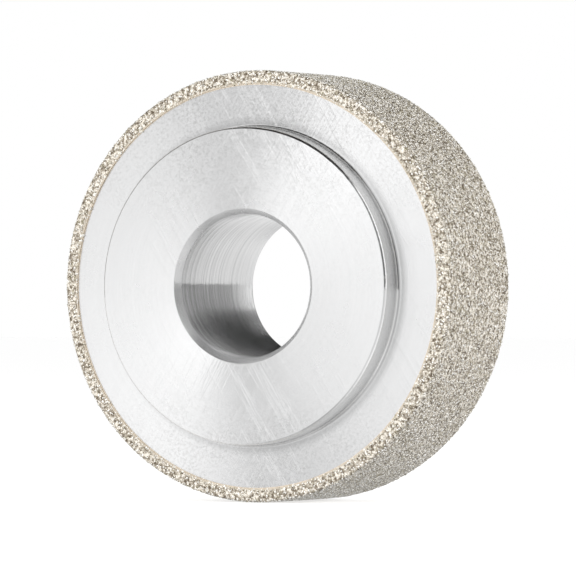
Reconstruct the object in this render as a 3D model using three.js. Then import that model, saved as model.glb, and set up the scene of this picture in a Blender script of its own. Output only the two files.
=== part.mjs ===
// An electroplated diamond grinding wheel: a turned aluminium hub with a raised boss and a plain bore, whose
// rim carries a copper strike, a nickel bond and one layer of diamond grit.
// Millimetres, +Z up. The wheel turns about +Y, its boss faces -Y, and the origin is the middle of its box.
import * as THREE from "three";

// Driving dimensions
const WHEEL_RADIUS = 30.0; // over the diamonds
const BORE_RADIUS = 10.0;
const BOSS_RADIUS = 22.0;
const BOSS_HEIGHT = 3.75; // boss face above the annular face around it
const RIM_WIDTH = 19.05; // aluminium only, annular face to back face
const BAND_INNER_RADIUS = 28.05; // where the plated band starts on both faces

const FRONT_BORE_CHAMFER = 0.75; // across the boss face
const FRONT_BORE_CHAMFER_DEPTH = 0.95; // into the bore
const REAR_BORE_CHAMFER = 0.5;
const BOSS_CHAMFER = 0.3;
const BOSS_FOOT_FILLET = 0.7;
const RIM_CORNER_RADIUS = 0.25; // on the aluminium, under the plating

const STRIKE_THICKNESS = 0.05;
const BOND_THICKNESS = 0.13;
const GRIT_STAND_OUT = 0.12; // how far the crystals stand out of the bond
const STRIKE_LIP = 0.12; // the strike shows this far inside the bond's edge
const GRIT_SETBACK = 0.1; // bare bond between its edge and the first crystals

// How finely the turned surfaces are divided
const SEGMENTS = 80;
const ARC_STEPS = 2; // per quarter turn of a rounded corner

// Derived sizes
const PLATING = STRIKE_THICKNESS + BOND_THICKNESS + GRIT_STAND_OUT;
const HUB_RADIUS = WHEEL_RADIUS - PLATING;
const OVERALL_WIDTH = BOSS_HEIGHT + RIM_WIDTH + PLATING;
const BOSS_FACE_Y = -OVERALL_WIDTH / 2;
const FRONT_Y = BOSS_FACE_Y + BOSS_HEIGHT;
const REAR_Y = FRONT_Y + RIM_WIDTH;
const CORNER_CENTRE_RADIUS = HUB_RADIUS - RIM_CORNER_RADIUS;

// The coating's layers: heights above the aluminium, and radii where each starts on the two faces
const BOND_BASE = STRIKE_THICKNESS;
const GRIT_BASE = STRIKE_THICKNESS + BOND_THICKNESS;
const STRIKE_EDGE = BAND_INNER_RADIUS - STRIKE_LIP;
const GRIT_EDGE = BAND_INNER_RADIUS + GRIT_SETBACK;

// A profile point: its distance from the wheel's axis, and its place along the axis.
const at = (radius, y) => new THREE.Vector2(radius, y);

// Points on an arc about (radius, y), from one angle to another in degrees. 0 points away from the axis
// and 90 points to the back of the wheel.
function arc(radius, y, arcRadius, fromDegrees, toDegrees) {
  const steps = Math.max(1, Math.round((Math.abs(toDegrees - fromDegrees) / 90) * ARC_STEPS));
  const points = [];
  for (let step = 0; step <= steps; step++) {
    const angle = THREE.MathUtils.degToRad(THREE.MathUtils.lerp(fromDegrees, toDegrees, step / steps));
    points.push(at(radius + arcRadius * Math.cos(angle), y + arcRadius * Math.sin(angle)));
  }
  return points;
}

// The rounded front and rear corners of the rim, at a height above the aluminium.
const frontCorner = (height, fromDegrees, toDegrees) =>
  arc(CORNER_CENTRE_RADIUS, FRONT_Y + RIM_CORNER_RADIUS, RIM_CORNER_RADIUS + height, fromDegrees, toDegrees);
const rearCorner = (height, fromDegrees, toDegrees) =>
  arc(CORNER_CENTRE_RADIUS, REAR_Y - RIM_CORNER_RADIUS, RIM_CORNER_RADIUS + height, fromDegrees, toDegrees);

// Outlines of the coated surface at a height above the aluminium, each running from front to back.
const frontBand = (height, innerRadius) => [at(innerRadius, FRONT_Y - height), ...frontCorner(height, -90, -45)];
const rimBand = (height) => [...frontCorner(height, -45, 0), ...rearCorner(height, 0, 45)];
const rearBand = (height, innerRadius) => [...rearCorner(height, 45, 90), at(innerRadius, REAR_Y + height)];
const wholeCoat = (height, innerRadius) => [
  ...frontBand(height, innerRadius),
  ...rimBand(height).slice(1),
  ...rearBand(height, innerRadius).slice(1),
];

// A ring turned about the Y axis from a closed profile, listed anticlockwise with radius to the right.
function turned(name, profile, material) {
  const geometry = new THREE.LatheGeometry([...profile, profile[0]], SEGMENTS);
  const mesh = new THREE.Mesh(geometry, new THREE.MeshStandardMaterial(material));
  mesh.name = name;
  return mesh;
}

// A layer of the coating, between the outline of its underside and that of its outer side.
const layer = (name, underside, outside, material) =>
  turned(name, [...outside, ...underside.reverse()], material);

const ALUMINIUM = { color: 0xe2e3e5, roughness: 0.32, metalness: 1.0 };
const COPPER = { color: 0xc9a27c, roughness: 0.45, metalness: 1.0 };
const NICKEL = { color: 0xb5b1a4, roughness: 0.4, metalness: 1.0 };
const DIAMOND = { color: 0xc4c2b2, roughness: 0.25, metalness: 0.1 };

// The hub: from the front end of the bore outwards over the boss, round the rim and back to the bore.
// Both faces are divided where the coating starts, so that the bare aluminium is a face of its own.
function makeHub() {
  const profile = [
    at(BORE_RADIUS, BOSS_FACE_Y + FRONT_BORE_CHAMFER_DEPTH),
    at(BORE_RADIUS + FRONT_BORE_CHAMFER, BOSS_FACE_Y),
    at(BOSS_RADIUS - BOSS_CHAMFER, BOSS_FACE_Y),
    at(BOSS_RADIUS, BOSS_FACE_Y + BOSS_CHAMFER),
    ...arc(BOSS_RADIUS + BOSS_FOOT_FILLET, FRONT_Y - BOSS_FOOT_FILLET, BOSS_FOOT_FILLET, 180, 90),
    at(STRIKE_EDGE, FRONT_Y),
    ...frontCorner(0, -90, 0),
    ...rearCorner(0, 0, 90),
    at(STRIKE_EDGE, REAR_Y),
    at(BORE_RADIUS + REAR_BORE_CHAMFER, REAR_Y),
    at(BORE_RADIUS, REAR_Y - REAR_BORE_CHAMFER),
  ];
  return turned("hub", profile, ALUMINIUM);
}

// The coating, from the aluminium outwards.
function makeCopperStrike() {
  return layer("copper_strike", wholeCoat(0, STRIKE_EDGE), wholeCoat(STRIKE_THICKNESS, STRIKE_EDGE), COPPER);
}

function makeNickelBond() {
  const underside = wholeCoat(BOND_BASE, BAND_INNER_RADIUS);
  const outside = wholeCoat(GRIT_BASE, BAND_INNER_RADIUS);
  return layer("nickel_bond", underside, outside, NICKEL);
}

function makeFrontGrit() {
  return layer("front_grit", frontBand(GRIT_BASE, GRIT_EDGE), frontBand(PLATING, GRIT_EDGE), DIAMOND);
}

function makeRimGrit() {
  return layer("rim_grit", rimBand(GRIT_BASE), rimBand(PLATING), DIAMOND);
}

function makeRearGrit() {
  return layer("rear_grit", rearBand(GRIT_BASE, GRIT_EDGE), rearBand(PLATING, GRIT_EDGE), DIAMOND);
}

const wheel = new THREE.Group();
wheel.name = "diamond_grinding_wheel";
wheel.add(makeHub());
wheel.add(makeCopperStrike());
wheel.add(makeNickelBond());
wheel.add(makeFrontGrit());
wheel.add(makeRimGrit());
wheel.add(makeRearGrit());

export default wheel;
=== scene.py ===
"""Looks for the diamond grinding wheel: a turned aluminium hub, plated with copper, nickel and diamonds.

The wheel turns about +Y and its boss faces -Y. Lengths are in metres, but names ending in _MM, and every
radius, place or height inside a material, are in millimetres. Colours are linear.
"""
import math

import bmesh
import bpy
import numpy as np
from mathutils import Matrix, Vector


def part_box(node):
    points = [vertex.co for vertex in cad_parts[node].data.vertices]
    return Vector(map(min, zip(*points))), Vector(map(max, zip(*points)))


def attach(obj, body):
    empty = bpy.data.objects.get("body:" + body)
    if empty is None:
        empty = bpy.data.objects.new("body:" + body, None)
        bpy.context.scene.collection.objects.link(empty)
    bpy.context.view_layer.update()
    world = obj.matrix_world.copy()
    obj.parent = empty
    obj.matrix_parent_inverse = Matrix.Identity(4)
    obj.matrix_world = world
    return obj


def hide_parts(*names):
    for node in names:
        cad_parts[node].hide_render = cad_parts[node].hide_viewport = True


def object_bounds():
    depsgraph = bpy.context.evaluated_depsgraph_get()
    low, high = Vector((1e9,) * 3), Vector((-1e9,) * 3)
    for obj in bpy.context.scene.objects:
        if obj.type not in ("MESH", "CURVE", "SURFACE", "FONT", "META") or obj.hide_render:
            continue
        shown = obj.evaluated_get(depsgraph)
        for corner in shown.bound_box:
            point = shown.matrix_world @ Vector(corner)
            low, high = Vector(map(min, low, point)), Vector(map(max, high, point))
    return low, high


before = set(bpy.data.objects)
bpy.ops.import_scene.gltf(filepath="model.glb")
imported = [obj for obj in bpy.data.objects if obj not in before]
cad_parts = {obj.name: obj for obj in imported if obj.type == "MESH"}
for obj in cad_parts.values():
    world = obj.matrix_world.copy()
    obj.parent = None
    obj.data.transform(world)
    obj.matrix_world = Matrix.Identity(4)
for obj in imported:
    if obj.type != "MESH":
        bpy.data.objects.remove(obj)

MM = 0.001
cad_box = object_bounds()
random = np.random.default_rng(seed=7)


# ---------------------------------------------------------------- sizes read from the frame


def rings(node):
    """Radius about the wheel's axis and place along it, for every vertex of a CAD node."""
    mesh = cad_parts[node].data
    corners = np.array([v.co for v in mesh.vertices])
    return np.hypot(corners[:, 0], corners[:, 2]), corners[:, 1]


hub_radii, hub_places = rings("hub")
BOSS_FACE = hub_places.min()
BACK_FACE = hub_places.max()
BORE_RADIUS = hub_radii.min()
HUB_RADIUS = hub_radii.max()
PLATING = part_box("rear_grit")[1].y - BACK_FACE
ANNULAR_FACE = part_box("front_grit")[0].y + PLATING
BOSS_RADIUS = hub_radii[hub_places < ANNULAR_FACE - 1.0 * MM].max()
STRIKE_EDGE = rings("copper_strike")[0].min()
BOND_EDGE = rings("nickel_bond")[0].min()
GRIT_EDGE = rings("front_grit")[0].min()
STRIKE_HEIGHT = ANNULAR_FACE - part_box("copper_strike")[0].y
BOND_HEIGHT = ANNULAR_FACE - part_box("nickel_bond")[0].y

BORE_MM = BORE_RADIUS / MM
BOSS_MM = BOSS_RADIUS / MM
GRIT_EDGE_MM = GRIT_EDGE / MM

# The CAD's small edge sizes, which its boxes don't show
FRONT_BORE_CHAMFER = 0.75 * MM
FRONT_BORE_CHAMFER_DEPTH = 0.95 * MM
REAR_BORE_CHAMFER = 0.5 * MM
BOSS_CHAMFER = 0.3 * MM
BOSS_FOOT_FILLET = 0.7 * MM
RIM_CORNER = 0.25 * MM

# Finer detail that only the looks have
EDGE_BREAK = 0.05 * MM
BOSS_BURR = 0.09 * MM  # the second facet where the boss's chamfer meets its side
BORING_MARKS = 30
BORING_PITCH = 0.25 * MM
BORING_DEPTH = 0.055 * MM

HUB_SEGMENTS = 288
LAYER_SEGMENTS = 720
SHARP_DEGREES = 20  # a corner that turns more than this gets a broken edge
SMOOTH_DEGREES = 35  # faces that meet at less than this are shaded as one surface


# ---------------------------------------------------------------- mesh building


def new_mesh(name, corners, faces, face_size):
    """A mesh object from numpy arrays, every face having face_size corners."""
    mesh = bpy.data.meshes.new(name)
    mesh.vertices.add(len(corners))
    mesh.vertices.foreach_set("co", corners.astype(np.float32).ravel())
    mesh.loops.add(faces.size)
    mesh.loops.foreach_set("vertex_index", faces.astype(np.int32).ravel())
    mesh.polygons.add(len(faces))
    mesh.polygons.foreach_set("loop_start", np.arange(len(faces), dtype=np.int32) * face_size)
    mesh.update(calc_edges=True)
    made = bpy.data.objects.new(name, mesh)
    bpy.context.scene.collection.objects.link(made)
    return made


def arc(radius, place, size, start, end, steps=6):
    """Points on an arc in the (radius, place) plane. Angle 0 points away from the axis, 90 to the back."""
    angles = np.radians(np.linspace(start, end, steps + 1))
    return [(radius + size * math.cos(a), place + size * math.sin(a)) for a in angles]


def broken(profile):
    """The closed profile with each sharp corner cut by a small rounded edge."""
    made = []
    count = len(profile)
    for i, corner in enumerate(profile):
        here = np.array(corner)
        before = np.array(profile[i - 1]) - here
        after = np.array(profile[(i + 1) % count]) - here
        before_length, after_length = np.linalg.norm(before), np.linalg.norm(after)
        turn = math.degrees(math.acos(np.clip(-before @ after / before_length / after_length, -1, 1)))
        if turn < SHARP_DEGREES:
            made.append(corner)
            continue
        cut = min(EDGE_BREAK, before_length / 3, after_length / 3)
        first = here + before / before_length * cut
        last = here + after / after_length * cut
        middle = (first + last) / 4 + here / 2
        made += [tuple(first), tuple(middle), tuple(last)]
    return made


def turned(name, profile, segments, wave=None):
    """A ring turned about the Y axis from a closed profile of (radius, place) points.

    wave(angle, index) gives how far each profile point moves outwards, in metres.
    """
    profile = np.array(profile)
    width = len(profile)
    angles = np.arange(segments) * 2 * math.pi / segments
    radii = np.repeat(profile[None, :, 0], segments, 0)
    if wave is not None:
        radii = radii + wave(angles[:, None], np.arange(width)[None, :])
    places = np.repeat(profile[None, :, 1], segments, 0)
    sines, cosines = np.sin(angles)[:, None], np.cos(angles)[:, None]
    corners = np.stack([radii * sines, places, radii * cosines], -1)
    i, j = np.meshgrid(np.arange(segments), np.arange(width), indexing="ij")
    i_next, j_next = (i + 1) % segments, (j + 1) % width
    faces = np.stack([i * width + j, i_next * width + j, i_next * width + j_next, i * width + j_next], -1)
    made = new_mesh(name, corners.reshape(-1, 3), faces.reshape(-1, 4), 4)
    turns_left = sum(a[0] * b[1] - b[0] * a[1] for a, b in zip(profile, np.roll(profile, -1, 0))) > 0
    if turns_left:
        made.data.flip_normals()
    made.data.shade_smooth()
    made.data.set_sharp_from_angle(angle=math.radians(SMOOTH_DEGREES))
    return made


def declare(made, material, node):
    """Gives a piece its material, hangs it under the root body, and hides the CAD node that it stands for."""
    made.data.materials.append(material)
    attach(made, "root")
    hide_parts(node)


# ---------------------------------------------------------------- material nodes


class Nodes:
    """A node tree of a material or a world, with short ways to add and join nodes.

    A noise scale is ripples to the metre for a position in the object, and to the millimetre for a radius
    with a place along the axis. Bump distances are in metres.
    """

    def __init__(self, owner, shader):
        self.owner = owner
        owner.use_nodes = True
        self.tree = owner.node_tree
        self.shader = self.tree.nodes[shader]

    def add(self, kind, **settings):
        node = self.tree.nodes.new("ShaderNode" + kind)
        for key, value in settings.items():
            setattr(node, key, value)
        return node

    def put(self, value, socket):
        """Sets a socket to a plain value, or joins it to another node's output."""
        if isinstance(value, bpy.types.NodeSocket):
            self.tree.links.new(value, socket)
        else:
            socket.default_value = value

    def math(self, operation, a, b=0.0, clamp=False):
        node = self.add("Math", operation=operation, use_clamp=clamp)
        self.put(a, node.inputs[0])
        self.put(b, node.inputs[1])
        return node.outputs[0]

    def scaled(self, value, factor, offset):
        return self.math("ADD", self.math("MULTIPLY", value, factor), offset)

    def ramp(self, value, stops, low=0.0, high=1.0):
        """A colour ramp over low to high: stops are (value, colour) with colour a number or three."""
        if (low, high) != (0.0, 1.0):
            value = self.math("DIVIDE", self.math("SUBTRACT", value, low), high - low)
        node = self.add("ValToRGB")
        self.put(value, node.inputs["Fac"])
        elements = node.color_ramp.elements
        while len(elements) < len(stops):
            elements.new(0.5)
        for element, (at, colour) in zip(elements, stops):
            element.position = (at - low) / (high - low)
            element.color = grey(colour) if isinstance(colour, (int, float)) else (*colour, 1)
        return node.outputs["Color"]

    def noise(self, vector, scale, detail, roughness):
        node = self.add("TexNoise")
        self.put(vector, node.inputs["Vector"])
        node.inputs["Scale"].default_value = scale
        node.inputs["Detail"].default_value = detail
        node.inputs["Roughness"].default_value = roughness
        return node.outputs["Fac"]

    def mix(self, share, a, b, blend="MIX"):
        node = self.add("Mix", data_type="RGBA", blend_type=blend)
        self.put(share, node.inputs["Factor"])
        self.put(a, node.inputs["A"])
        self.put(b, node.inputs["B"])
        return node.outputs["Result"]

    def dot(self, vector, other):
        node = self.add("VectorMath", operation="DOT_PRODUCT")
        self.put(vector, node.inputs[0])
        self.put(other, node.inputs[1])
        return node.outputs["Value"]

    def bump(self, height, strength, distance, normal=None):
        node = self.add("Bump")
        node.inputs["Strength"].default_value = strength
        node.inputs["Distance"].default_value = distance
        self.put(height, node.inputs["Height"])
        if normal is not None:
            self.put(normal, node.inputs["Normal"])
        return node.outputs["Normal"]


def grey(level):
    return (level, level, level, 1)


def new_material(name):
    return Nodes(bpy.data.materials.new(name), "Principled BSDF")


def object_position(nodes):
    return nodes.add("TexCoord").outputs["Object"]


def polar(nodes, position):
    """Distance from the wheel's axis, place along it, and height, as sockets in mm."""
    split = nodes.add("SeparateXYZ")
    nodes.put(position, split.inputs[0])
    x, y, z = split.outputs
    squares = nodes.math("ADD", nodes.math("MULTIPLY", x, x), nodes.math("MULTIPLY", z, z))
    per_metre = 1 / MM
    radius = nodes.math("MULTIPLY", nodes.math("SQRT", squares), per_metre)
    return radius, nodes.math("MULTIPLY", y, per_metre), nodes.math("MULTIPLY", z, per_metre)


# ---------------------------------------------------------------- turned aluminium

CLEAN_DARK = (0.88, 0.882, 0.885)
CLEAN_LIGHT = (0.935, 0.936, 0.938)
# Colour and strength of the dark mottling, which lies mostly near the top and the bottom
MOTTLE_COLOUR = (0.45, 0.45, 0.44, 1)
MOTTLE_STRENGTH = 0.48
EDGE_ROUGHNESS = 0.11
BORE_ROUGHNESS = 0.19
MARK_DEPTH = 0.02 * MM


def ring_noises(nodes, radius, along):
    """Fine, broad and groove noise that changes only with the radius and the place along the axis."""
    place = nodes.add("CombineXYZ")
    nodes.put(radius, place.inputs["X"])
    nodes.put(along, place.inputs["Y"])
    fine = nodes.noise(place.outputs[0], scale=6.0, detail=3.0, roughness=0.6)
    broad = nodes.noise(place.outputs[0], scale=1.3, detail=4.0, roughness=0.75)
    grooves = nodes.noise(place.outputs[0], scale=1.5, detail=3.0, roughness=0.8)
    return fine, broad, grooves


def stretched_noise(nodes, position, turn, fine, coarse):
    """Noise drawn out into short lines in the wheel's faces, at an angle in degrees from level."""
    mapping = nodes.add("Mapping", vector_type="TEXTURE")
    nodes.put(position, mapping.inputs["Vector"])
    mapping.inputs["Rotation"].default_value = (0, -math.radians(turn), 0)
    mapping.inputs["Scale"].default_value = (1 / coarse, 1 / fine, 1 / fine)
    return nodes.noise(mapping.outputs["Vector"], scale=1.0, detail=3.0, roughness=0.6)


def scratches(nodes, position):
    """Long scratches that mostly lie one way, and fainter scuffs that lie another."""
    long_lines = stretched_noise(nodes, position, turn=122, fine=1000.0, coarse=55.0)
    short_lines = stretched_noise(nodes, position, turn=60, fine=1900.0, coarse=120.0)
    scratch = nodes.ramp(long_lines, [(0.55, 0.0), (0.75, 1.0)])
    scuff = nodes.ramp(short_lines, [(0.5, 0.0), (0.75, 1.0)])
    return nodes.math("ADD", scratch, nodes.math("MULTIPLY", scuff, 0.4))


def dark_mottling(nodes, position, height, blotch):
    """How much dark mottling each spot has, in blotches, mostly near the top and the bottom."""
    mottle = nodes.noise(position, scale=2300.0, detail=4.0, roughness=0.7)
    top_and_bottom = nodes.ramp(height, [(-22.0, 0.7), (-14.0, 0.1), (8.0, 0.1), (22.0, 1.0)], -30.0, 30.0)
    top_and_bottom = nodes.math("MULTIPLY", top_and_bottom, nodes.ramp(blotch, [(0.4, 0.4), (0.6, 1.0)]))
    return nodes.math("MULTIPLY", nodes.ramp(mottle, [(0.36, 1.0), (0.54, 0.0)]), top_and_bottom)


def foot_shade(nodes, radius):
    """Painted shade: the darker ring on the annular face, just outside the boss's foot, standing for the
    boss's darker side reflected there.
    """
    stops = [(0.05, 1.0), (0.3, 0.72), (0.8, 0.82), (1.6, 1.0)]
    return nodes.ramp(radius, [(BOSS_MM + out, level) for out, level in stops], BOSS_MM - 2, BOSS_MM + 2)


def smooth_edges(nodes, radius):
    """Where the metal is smoothest: the boss's chamfer and its foot fillet, and less so the side between."""
    chamfer = [(-0.35, 0.0), (-0.3, 1.0), (-0.06, 1.0), (-0.02, 0.3)]
    fillet = [(0.02, 0.3), (0.06, 1.0), (0.4, 1.0), (0.6, 0.0)]
    stops = [(BOSS_MM + out, level) for out, level in chamfer + fillet]
    return nodes.ramp(radius, stops, BOSS_MM - 2, BOSS_MM + 2)


def turned_metal(name):
    """A bare metal whose sheen spreads across the tool marks, which run round the wheel's axis."""
    nodes = new_material(name)
    nodes.shader.inputs["Metallic"].default_value = 1.0
    nodes.shader.inputs["Anisotropic"].default_value = 1.0
    nodes.shader.inputs["Anisotropic Rotation"].default_value = 0.25
    tangent = nodes.add("Tangent", direction_type="RADIAL", axis="Y")
    nodes.put(tangent.outputs["Tangent"], nodes.shader.inputs["Tangent"])
    return nodes


def turned_aluminium():
    """Bright aluminium with concentric tool marks, crossed by scratches, darker in mottled patches mostly
    near the top and the bottom, and with painted shade round the boss's foot.
    """
    nodes = turned_metal("turned_aluminium")
    shader = nodes.shader
    position = object_position(nodes)
    radius, along, height = polar(nodes, position)
    in_bore = nodes.ramp(radius, [(BORE_MM - 0.02, 1.0), (BORE_MM + 0.02, 0.0)], BORE_MM - 1, BORE_MM + 1)
    in_front = nodes.math("LESS_THAN", along, 0.0)
    blotch = nodes.noise(position, scale=150.0, detail=4.0, roughness=0.6)
    fine, broad, grooves = ring_noises(nodes, radius, along)

    tone = nodes.math("ADD", nodes.math("MULTIPLY", broad, 0.6), nodes.math("MULTIPLY", blotch, 0.4))
    clean = nodes.ramp(tone, [(0.35, CLEAN_DARK), (0.65, CLEAN_LIGHT)])
    # Painted shade round the boss's foot, on the front faces only
    shaded = nodes.mix(1.0, clean, foot_shade(nodes, radius), "MULTIPLY")
    clean = nodes.mix(in_front, clean, shaded)
    # Darker mottling in blotches, mostly near the top and the bottom
    dark_patches = nodes.math("MULTIPLY", dark_mottling(nodes, position, height, blotch), MOTTLE_STRENGTH)
    faces = nodes.mix(dark_patches, clean, MOTTLE_COLOUR)
    bored = nodes.ramp(grooves, [(0.4, 0.6), (0.5, 0.86), (0.58, 1.0)])
    nodes.put(nodes.mix(in_bore, faces, bored), shader.inputs["Base Color"])

    rough = nodes.scaled(blotch, 0.12, 0.20)
    front_edges = nodes.math("MULTIPLY", smooth_edges(nodes, radius), in_front)
    rough = nodes.mix(front_edges, rough, grey(EDGE_ROUGHNESS))
    nodes.put(nodes.mix(in_bore, rough, grey(BORE_ROUGHNESS)), shader.inputs["Roughness"])
    tool_marks = nodes.bump(nodes.math("ADD", fine, broad), 0.3, MARK_DEPTH)
    outside_bore = nodes.math("SUBTRACT", 1.0, in_bore)
    marks = nodes.math("MULTIPLY", scratches(nodes, position), outside_bore)
    nodes.put(nodes.bump(marks, 1.0, MARK_DEPTH, tool_marks), shader.inputs["Normal"])
    return nodes.owner


# ---------------------------------------------------------------- the coating's materials


def copper_strike():
    """Thin matt tan plating."""
    nodes = new_material("copper_strike")
    shader = nodes.shader
    grain = nodes.noise(object_position(nodes), scale=4000.0, detail=3.0, roughness=0.6)
    tan = nodes.ramp(grain, [(0.3, (0.50, 0.43, 0.34)), (0.7, (0.68, 0.60, 0.50))])
    nodes.put(tan, shader.inputs["Base Color"])
    nodes.put(nodes.scaled(grain, 0.2, 0.4), shader.inputs["Roughness"])
    nodes.put(nodes.bump(grain, 0.3, 0.02 * MM), shader.inputs["Normal"])
    shader.inputs["Metallic"].default_value = 0.4
    return nodes.owner


def nickel_bond():
    """Warm satin nickel in small mounds between the crystals, with a lighter bare edge inside them. Its
    darkest browns are painted shade for the crevices between the crystals.
    """
    nodes = new_material("nickel_bond")
    shader = nodes.shader
    position = object_position(nodes)
    radius = polar(nodes, position)[0]
    mound = nodes.noise(position, scale=2600.0, detail=3.0, roughness=0.6)
    tint = nodes.noise(position, scale=1900.0, detail=3.0, roughness=0.7)
    # Partly the nickel's own warm tone, partly painted shade: the dark browns stand for the shade in the
    # crevices
    between = nodes.ramp(tint, [
        (0.38, (0.10, 0.075, 0.05)),
        (0.50, (0.31, 0.27, 0.215)),
        (0.62, (0.78, 0.73, 0.65)),
    ])
    stops = [(GRIT_EDGE_MM + 0.05, 1.0), (GRIT_EDGE_MM + 0.2, 0.0)]
    bare_edge = nodes.ramp(radius, stops, GRIT_EDGE_MM - 1, GRIT_EDGE_MM + 1)
    nodes.put(nodes.mix(bare_edge, between, (0.48, 0.42, 0.34, 1)), shader.inputs["Base Color"])
    nodes.put(nodes.scaled(mound, 0.2, 0.35), shader.inputs["Roughness"])
    nodes.put(nodes.bump(mound, 1.0, 0.14 * MM), shader.inputs["Normal"])
    shader.inputs["Metallic"].default_value = 0.35
    return nodes.owner


def diamond_grit():
    """Crystals from clear to olive and dark brown. Painted shade darkens some facets by the way they face,
    leaving the rest bright as glints.
    """
    nodes = new_material("diamond_grit")
    shader = nodes.shader
    geometry = nodes.add("NewGeometry")
    position = object_position(nodes)
    drift = nodes.noise(position, scale=750.0, detail=2.0, roughness=0.6)
    own = nodes.math("MULTIPLY", geometry.outputs["Random Per Island"], 0.75)
    shared = nodes.math("MULTIPLY", nodes.math("SUBTRACT", drift, 0.25), 0.5)
    pick = nodes.math("ADD", own, shared, clamp=True)
    colour = nodes.ramp(pick, [
        (0.00, (0.15, 0.12, 0.06)),
        (0.16, (0.38, 0.34, 0.23)),
        (0.32, (0.72, 0.68, 0.58)),
        (0.55, (0.91, 0.88, 0.82)),
        (0.80, (0.98, 0.97, 0.94)),
        (1.00, (1.0, 1.0, 1.0)),
    ])
    # Painted shade and glints: each facet is made darker or left bright by the direction it faces
    facet = nodes.noise(geometry.outputs["True Normal"], scale=2.3, detail=1.0, roughness=0.5)
    shade = nodes.ramp(facet, [(0.35, (0.38, 0.36, 0.31)), (0.58, 1.0)])
    nodes.put(nodes.mix(0.8, colour, shade, "MULTIPLY"), shader.inputs["Base Color"])
    cloud = nodes.noise(position, scale=5000.0, detail=2.0, roughness=0.5)
    nodes.put(nodes.scaled(cloud, 0.2, 0.06), shader.inputs["Roughness"])
    shader.inputs["Metallic"].default_value = 0.2
    shader.inputs["IOR"].default_value = 2.42
    return nodes.owner


# ---------------------------------------------------------------- the hub


def boring_marks():
    """Fine tool marks in the back of the bore, from the back forwards, each shallower than the one before."""
    marks = []
    for k in range(BORING_MARKS):
        place = BACK_FACE - REAR_BORE_CHAMFER - (k + 1) * BORING_PITCH
        depth = BORING_DEPTH * (1 - k / BORING_MARKS)
        marks += [(BORE_RADIUS + depth, place), (BORE_RADIUS, place)]
    # A last ring just in front keeps the marks' slope out of the smooth shading of the plain bore
    return marks + [(BORE_RADIUS, place - EDGE_BREAK)]


def make_hub():
    """The turned blank. Its profile runs from the front of the bore outwards, round the rim and back."""
    foot_radius, foot_place = BOSS_RADIUS + BOSS_FOOT_FILLET, ANNULAR_FACE - BOSS_FOOT_FILLET
    corner_radius = HUB_RADIUS - RIM_CORNER
    profile = [
        (BORE_RADIUS, BOSS_FACE + FRONT_BORE_CHAMFER_DEPTH),
        (BORE_RADIUS + FRONT_BORE_CHAMFER, BOSS_FACE),
        (BOSS_RADIUS - BOSS_CHAMFER, BOSS_FACE),
        (BOSS_RADIUS - BOSS_BURR, BOSS_FACE + BOSS_CHAMFER - BOSS_BURR),
        (BOSS_RADIUS, BOSS_FACE + BOSS_CHAMFER + BOSS_BURR),
        *arc(foot_radius, foot_place, BOSS_FOOT_FILLET, 180, 90, 8),
        *arc(corner_radius, ANNULAR_FACE + RIM_CORNER, RIM_CORNER, -90, 0),
        *arc(corner_radius, BACK_FACE - RIM_CORNER, RIM_CORNER, 0, 90),
        (BORE_RADIUS + REAR_BORE_CHAMFER, BACK_FACE),
        (BORE_RADIUS, BACK_FACE - REAR_BORE_CHAMFER),
    ]
    hub = turned("hub_turned", broken(profile) + boring_marks(), HUB_SEGMENTS)
    declare(hub, turned_aluminium(), "hub")


# ---------------------------------------------------------------- the coating

EDGE_WAVES = 12
EDGE_WANDER = 0.012 * MM


def coat_outline(height, inner_radius, steps=6):
    """The coated surface at a height above the aluminium, from the front band over the rim to the back."""
    corner = RIM_CORNER + height
    corner_radius = HUB_RADIUS - RIM_CORNER
    return [
        (inner_radius, ANNULAR_FACE - height),
        *arc(corner_radius, ANNULAR_FACE + RIM_CORNER, corner, -90, 0, steps),
        *arc(corner_radius, BACK_FACE - RIM_CORNER, corner, 0, 90, steps),
        (inner_radius, BACK_FACE + height),
    ]


def make_layer(name, node, bottom, top, inner_radius, material):
    """One layer of the coating, whose inner edges wander a little as a masked edge does."""
    profile = coat_outline(top, inner_radius) + coat_outline(bottom, inner_radius)[::-1]
    count = len(profile)
    edges = np.isin(np.arange(count), [0, count // 2 - 1, count // 2, count - 1])
    phases = random.uniform(0, 2 * math.pi, EDGE_WAVES)

    def wave(angle, index):
        total = sum(np.sin(angle * (3 + 7 * k) + phases[k]) / (1 + k) for k in range(EDGE_WAVES))
        return EDGE_WANDER * total * edges[index]

    declare(turned(name, profile, LAYER_SEGMENTS, wave), material, node)


# ---------------------------------------------------------------- the diamonds

GRAIN_SPACING = 0.37 * MM
GRAIN_SIZE = 0.35 * MM
GRAIN_SIZE_SPREAD = 0.28
GRAIN_SIZE_LIMITS = (0.5, 1.8)
ROW_PITCH = 0.87  # distance between rows, in grain spacings
JITTER = 0.6  # how far a crystal strays from its place in the row, in grain spacings
LEAST_STRETCH = (0.75, 0.6, 0.7)
MOST_STRETCH = (1.0, 1.0, 1.7)
LEAST_STAND_OUT = 0.45
MOST_TILT = 90
SHAPES = 40
FEWEST_CORNERS = 8
MOST_CORNERS = 10
SPREAD_ROUNDS = 12
SPREAD_PUSH = 0.12
LEAST_REACH = 0.85  # how far a corner is from the middle, in half-widths of a crystal
MOST_REACH = 1.1
MOST_FACES = 170_000  # in one piece


def spread_points(count):
    """Random directions, pushed apart a few times so that they are well spread over a sphere."""
    points = random.normal(size=(count, 3))
    for _ in range(SPREAD_ROUNDS):
        points /= np.linalg.norm(points, axis=1)[:, None]
        apart = points[:, None] - points[None]
        distance = np.linalg.norm(apart, axis=2) + np.eye(count)
        points += SPREAD_PUSH * (apart / distance[..., None] ** 3).sum(1)
    return points / np.linalg.norm(points, axis=1)[:, None]


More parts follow.
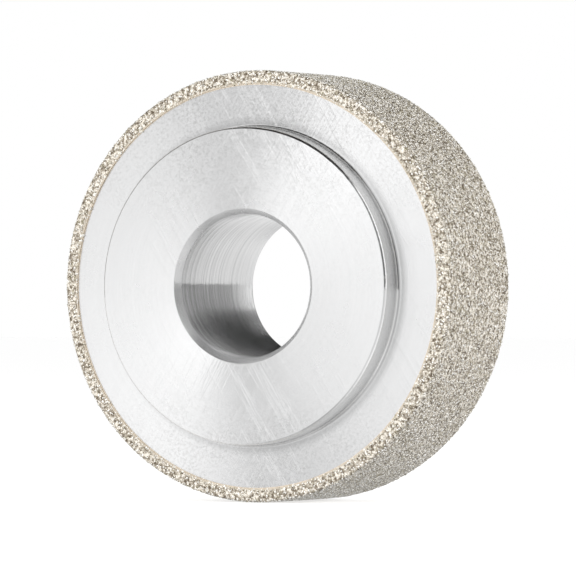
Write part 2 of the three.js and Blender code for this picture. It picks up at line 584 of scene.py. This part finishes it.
def crystal_shape():
    """One crystal about 1 across: the convex hull of a few well-spread points, as corners and triangles."""
    count = int(random.integers(FEWEST_CORNERS, MOST_CORNERS + 1))
    points = spread_points(count)
    points *= random.uniform(LEAST_REACH, MOST_REACH, (count, 1)) * 0.5
    hull = bmesh.new()
    for point in points:
        hull.verts.new(point)
    bmesh.ops.convex_hull(hull, input=hull.verts)
    bmesh.ops.triangulate(hull, faces=hull.faces)
    hull.verts.index_update()
    hull.faces.ensure_lookup_table()
    bmesh.ops.recalc_face_normals(hull, faces=hull.faces)
    corners = np.array([v.co for v in hull.verts])
    faces = np.array([[v.index for v in f.verts] for f in hull.faces])
    hull.free()
    return corners, faces


def site_rows(outline, walked):
    """Angle round the wheel and distance along the outline of every crystal, in rows across the coat."""
    length = walked[-1]
    rows = int(length / (GRAIN_SPACING * ROW_PITCH))
    found = []
    for row in range(rows + 1):
        middle = length * row / rows
        radius = np.interp(middle, walked, outline[:, 0])
        count = int(2 * math.pi * radius / GRAIN_SPACING)
        steps = np.arange(count) + random.uniform() + random.uniform(-JITTER, JITTER, count)
        angle = steps * 2 * math.pi / count
        along = middle + random.uniform(-JITTER, JITTER, count) * GRAIN_SPACING
        found.append(np.stack([angle, np.clip(along, 0, length)], 1))
    return np.concatenate(found).T


def coat_sites():
    """Where each crystal sits.

    Gives the point on the bond, the outward normal, the direction round the wheel, the angle round it and
    the normal's share along the axis.
    """
    outline = np.array(coat_outline(BOND_HEIGHT, GRIT_EDGE, 10))
    steps = np.diff(outline, axis=0)
    lengths = np.linalg.norm(steps, axis=1)
    walked = np.concatenate([[0], np.cumsum(lengths)])
    angle, along = site_rows(outline, walked)
    radius = np.interp(along, walked, outline[:, 0])
    place = np.interp(along, walked, outline[:, 1])
    part = np.clip(np.searchsorted(walked, along, side="right") - 1, 0, len(steps) - 1)
    direction = steps[part] / lengths[part][:, None]
    normal_radius, normal_place = direction[:, 1], -direction[:, 0]
    sine, cosine = np.sin(angle), np.cos(angle)
    point = np.stack([radius * sine, place, radius * cosine], 1)
    normal = np.stack([normal_radius * sine, normal_place, normal_radius * cosine], 1)
    around = np.stack([cosine, np.zeros_like(angle), -sine], 1)
    return point, normal, around, angle, normal_place


def random_turns(count, tilt):
    """Rotations: any turn about the third axis, after a tilt of up to that many degrees any way."""
    spin = random.uniform(0, 2 * math.pi, count)
    lean = np.radians(random.uniform(0, tilt, count))
    toward = random.uniform(0, 2 * math.pi, count)

    def about_z(a):
        c, s, z, o = np.cos(a), np.sin(a), np.zeros_like(a), np.ones_like(a)
        return np.stack([np.stack([c, -s, z], 1), np.stack([s, c, z], 1), np.stack([z, z, o], 1)], 1)

    def about_x(a):
        c, s, z, o = np.cos(a), np.sin(a), np.zeros_like(a), np.ones_like(a)
        return np.stack([np.stack([o, z, z], 1), np.stack([z, c, -s], 1), np.stack([z, s, c], 1)], 1)

    return about_z(toward) @ about_x(lean) @ about_z(spin)


def make_crystals(name, node, material, shapes, point, normal, around):
    """Crystals at the given sites, joined in one mesh of separate closed solids."""
    count = len(point)
    basis = np.stack([around, np.cross(normal, around), normal], 2)
    which = random.integers(0, len(shapes), count)
    turns = random_turns(count, MOST_TILT)
    sizes = GRAIN_SIZE * np.exp(random.normal(0, GRAIN_SIZE_SPREAD, count)).clip(*GRAIN_SIZE_LIMITS)
    stretch = random.uniform(LEAST_STRETCH, MOST_STRETCH, (count, 3)) * sizes[:, None]
    stand_out = (PLATING - BOND_HEIGHT) * random.uniform(LEAST_STAND_OUT, 1.0, count)
    corners, faces, base = [], [], 0
    for k, (shape, triangles) in enumerate(shapes):
        mine = np.flatnonzero(which == k)
        local = np.einsum("nij,nvj->nvi", turns[mine], shape[None] * stretch[mine][:, None, :])
        local[..., 2] += (stand_out[mine] - local[..., 2].max(1))[:, None]
        placed = np.einsum("nij,nvj->nvi", basis[mine], local) + point[mine][:, None, :]
        corners.append(placed.reshape(-1, 3))
        offsets = base + np.arange(len(mine)) * len(shape)
        faces.append((triangles[None] + offsets[:, None, None]).reshape(-1, 3))
        base += len(mine) * len(shape)
    made = new_mesh(name, np.concatenate(corners), np.concatenate(faces), 3)
    declare(made, material, node)


def make_grit():
    """The crystals of the front band, the back band and the rim, the rim's in as many pieces as needed."""
    shapes = [crystal_shape() for _ in range(SHAPES)]
    point, normal, around, angle, facing = coat_sites()
    material = diamond_grit()
    on_front = facing < -math.sqrt(0.5)
    on_back = facing > math.sqrt(0.5)
    on_rim = ~on_front & ~on_back
    faces_each = np.mean([len(triangles) for _, triangles in shapes])
    parts = math.ceil(on_rim.sum() * faces_each / MOST_FACES)
    turns = (angle % (2 * math.pi)) / (2 * math.pi)
    sector = (turns * parts).astype(int).clip(0, parts - 1)
    groups = [("front_crystals", "front_grit", on_front), ("rear_crystals", "rear_grit", on_back)]
    groups += [(f"rim_crystals_{k + 1}", "rim_grit", on_rim & (sector == k)) for k in range(parts)]
    for name, node, chosen in groups:
        make_crystals(name, node, material, shapes, point[chosen], normal[chosen], around[chosen])


# ---------------------------------------------------------------- camera, floor and lights

CAMERA_AZIMUTH = 27.11
CAMERA_ELEVATION = -0.3
CAMERA_DISTANCE = 0.8068
CAMERA_LENS_MM = 364.0
AIM_RIGHT = 4.575 * MM
AIM_UP = -0.182 * MM

FLOOR_HALF_WIDTH = 6.0
FLOOR_PALENESS = 0.7
FLOOR_GLOW = 0.6

SOFTBOX_DISTANCE = 0.9
SOFTBOX_WIDTH = 0.5


def direction_to(azimuth, elevation):
    """The unit vector at that azimuth and elevation. Azimuth 0 is in front of the boss, 90 to its right."""
    turn, lift = math.radians(azimuth), math.radians(elevation)
    return Vector((math.sin(turn) * math.cos(lift), -math.cos(turn) * math.cos(lift), math.sin(lift)))


def look_from(placed, target, direction, distance):
    """Puts a camera or a light at a distance from the target in that direction, and points it there."""
    placed.location = target + direction * distance
    placed.rotation_mode = "QUATERNION"
    placed.rotation_quaternion = (-direction).to_track_quat("-Z", "Y")
    bpy.context.scene.collection.objects.link(placed)


def make_camera():
    turn = math.radians(CAMERA_AZIMUTH)
    right = Vector((math.cos(turn), math.sin(turn), 0))
    direction = direction_to(CAMERA_AZIMUTH, CAMERA_ELEVATION)
    target = Vector((0, ANNULAR_FACE, 0)) + right * AIM_RIGHT + direction.cross(right) * AIM_UP
    data = bpy.data.cameras.new("camera")
    data.lens = CAMERA_LENS_MM
    data.clip_start = 0.01
    camera = bpy.data.objects.new("camera", data)
    look_from(camera, target, direction, CAMERA_DISTANCE)
    bpy.context.scene.camera = camera


def make_floor():
    """A pale floor under the wheel. The world stands in for it in reflections and as light on the wheel."""
    low, size = cad_box[0].z, FLOOR_HALF_WIDTH
    corners = np.array([(-size, -size, low), (size, -size, low), (size, size, low), (-size, size, low)])
    floor = new_mesh("floor", corners, np.array([[0, 1, 2, 3]]), 4)
    nodes = new_material("floor")
    inputs = nodes.shader.inputs
    inputs["Roughness"].default_value = 0.9
    inputs["Specular IOR Level"].default_value = 0.0
    inputs["Base Color"].default_value = grey(FLOOR_PALENESS)
    inputs["Emission Color"].default_value = grey(1)
    inputs["Emission Strength"].default_value = FLOOR_GLOW
    floor.data.materials.append(nodes.owner)
    floor.visible_glossy = False
    floor.visible_diffuse = False


def make_softbox(name, azimuth, elevation, power):
    """A soft square light aimed at the wheel. It doesn't show in reflections, which the world makes."""
    data = bpy.data.lights.new(name, "AREA")
    data.size = SOFTBOX_WIDTH
    data.energy = power
    light = bpy.data.objects.new(name, data)
    light.visible_glossy = False
    look_from(light, Vector((0, 0, 0)), direction_to(azimuth, elevation), SOFTBOX_DISTANCE)


# ---------------------------------------------------------------- the studio as a world

# Brightness of the walls by azimuth, as the wheel's polish shows them
WALLS = [
    (-180, 0.05), (-166, 0.05), (-150, 0.12), (-120, 0.2), (-85, 0.25), (-62, 0.9), (-27, 1.1), (-5, 1.1),
    (10, 0.85), (24, 0.7), (40, 0.6), (52, 0.38), (58, 0.16), (82, 0.12), (88, 1.3), (129, 1.3),
    (137, 0.24), (153, 0.17), (166, 0.12), (180, 0.05),
]
# The pale floor's sheen by azimuth
FLOOR_SHEEN = [
    (-180, 0.76), (-158, 0.95), (-120, 0.8), (-60, 0.8), (-27, 1.0), (-5, 0.95), (10, 0.75), (30, 0.62),
    (48, 0.6), (60, 0.65), (75, 0.75), (95, 0.95), (140, 0.82), (180, 0.76),
]
# Brightness round the middle of the front panel, by angle: 0 is to its right and 90 above it
FRONT_PANEL = [
    (-180, 1.0), (-135, 1.09), (-106, 1.06), (-103, 0.68), (-85, 0.65), (-70, 0.72), (-48, 0.97),
    (-25, 1.04), (0, 1.12), (30, 1.18), (45, 1.24), (74, 1.24), (78, 0.64), (95, 0.6), (115, 0.66),
    (132, 0.9), (180, 0.98),
]
PANEL_AZIMUTH = -27.1
PANEL_EDGE = [(0.62, 0.0), (0.80, 1.0)]  # by the cosine of the angle from the panel's middle
# These are by height on a ball of radius 1 about the wheel: -1 is straight down and 1 straight up
FRONT_CEILING = [(0.0, 1.0), (0.3, 1.0), (0.5, 1.3), (0.78, 1.3), (0.85, 0.3), (0.89, 0.06), (1.0, 0.04)]
BACK_CEILING = [(0.0, 1.0), (0.36, 1.0), (0.46, 0.12), (1.0, 0.04)]
NEAR_FLOOR = [(-1.0, 0.6), (-0.85, 0.95), (-0.65, 1.2), (-0.4, 1.05), (0.0, 1.0)]
SOFT_LIGHT = [(-1.0, 0.1), (-0.5, 0.5), (0.0, 1.3), (0.35, 1.2), (0.75, 0.3), (1.0, 0.15)]
FLOOR_EDGE = -0.027
DEGREES = 180 / math.pi


def reflected_room(nodes, across, forward, height):
    """Walls that fade into a ceiling, above a pale floor."""
    azimuth = nodes.math("ARCTAN2", across, nodes.math("MULTIPLY", forward, -1.0))
    azimuth = nodes.math("MULTIPLY", azimuth, DEGREES)
    at_back = nodes.ramp(forward, [(0.1, 0.0), (0.5, 1.0)])
    ceiling = nodes.mix(at_back, nodes.ramp(height, FRONT_CEILING), nodes.ramp(height, BACK_CEILING))
    walls = nodes.mix(1.0, nodes.ramp(azimuth, WALLS, -180, 180), ceiling, "MULTIPLY")
    near_floor = nodes.ramp(height, NEAR_FLOOR, -1.0, 0.0)
    floor = nodes.mix(1.0, nodes.ramp(azimuth, FLOOR_SHEEN, -180, 180), near_floor, "MULTIPLY")
    return nodes.mix(nodes.math("GREATER_THAN", height, FLOOR_EDGE), floor, walls)


def with_front_panel(nodes, direction, height, room):
    """The room with a big bright panel in front of the wheel, which its flat faces reflect."""
    turn = math.radians(PANEL_AZIMUTH)
    middle = tuple(direction_to(PANEL_AZIMUTH, 0))
    side = nodes.dot(direction, (math.cos(turn), math.sin(turn), 0))
    spoke = nodes.math("MULTIPLY", nodes.math("ARCTAN2", height, side), DEGREES)
    panel = nodes.ramp(spoke, FRONT_PANEL, -180, 180)
    return nodes.mix(nodes.ramp(nodes.dot(direction, middle), PANEL_EDGE), room, panel)


def make_world():
    """White to the camera, soft light to matt surfaces, and a made-up studio in reflections."""
    world = bpy.data.worlds.new("studio")
    bpy.context.scene.world = world
    nodes = Nodes(world, "Background")
    direction = nodes.add("TexCoord").outputs["Generated"]
    split = nodes.add("SeparateXYZ")
    nodes.put(direction, split.inputs[0])
    across, forward, height = split.outputs
    room = reflected_room(nodes, across, forward, height)
    reflected = with_front_panel(nodes, direction, height, room)
    path = nodes.add("LightPath")
    level = nodes.mix(path.outputs["Is Diffuse Ray"], reflected, nodes.ramp(height, SOFT_LIGHT, -1.0, 1.0))
    level = nodes.mix(path.outputs["Is Camera Ray"], level, grey(1))
    nodes.put(level, nodes.shader.inputs["Color"])


make_camera()
make_floor()
make_world()
make_softbox("softbox_front", azimuth=-16, elevation=6, power=12.3)
make_softbox("softbox_right", azimuth=95, elevation=10, power=8.5)
make_hub()
make_layer("strike_layer", "copper_strike", 0.0, STRIKE_HEIGHT, STRIKE_EDGE, copper_strike())
make_layer("bond_layer", "nickel_bond", STRIKE_HEIGHT, BOND_HEIGHT, BOND_EDGE, nickel_bond())
make_grit()

bpy.context.scene.view_settings.view_transform = "Standard"
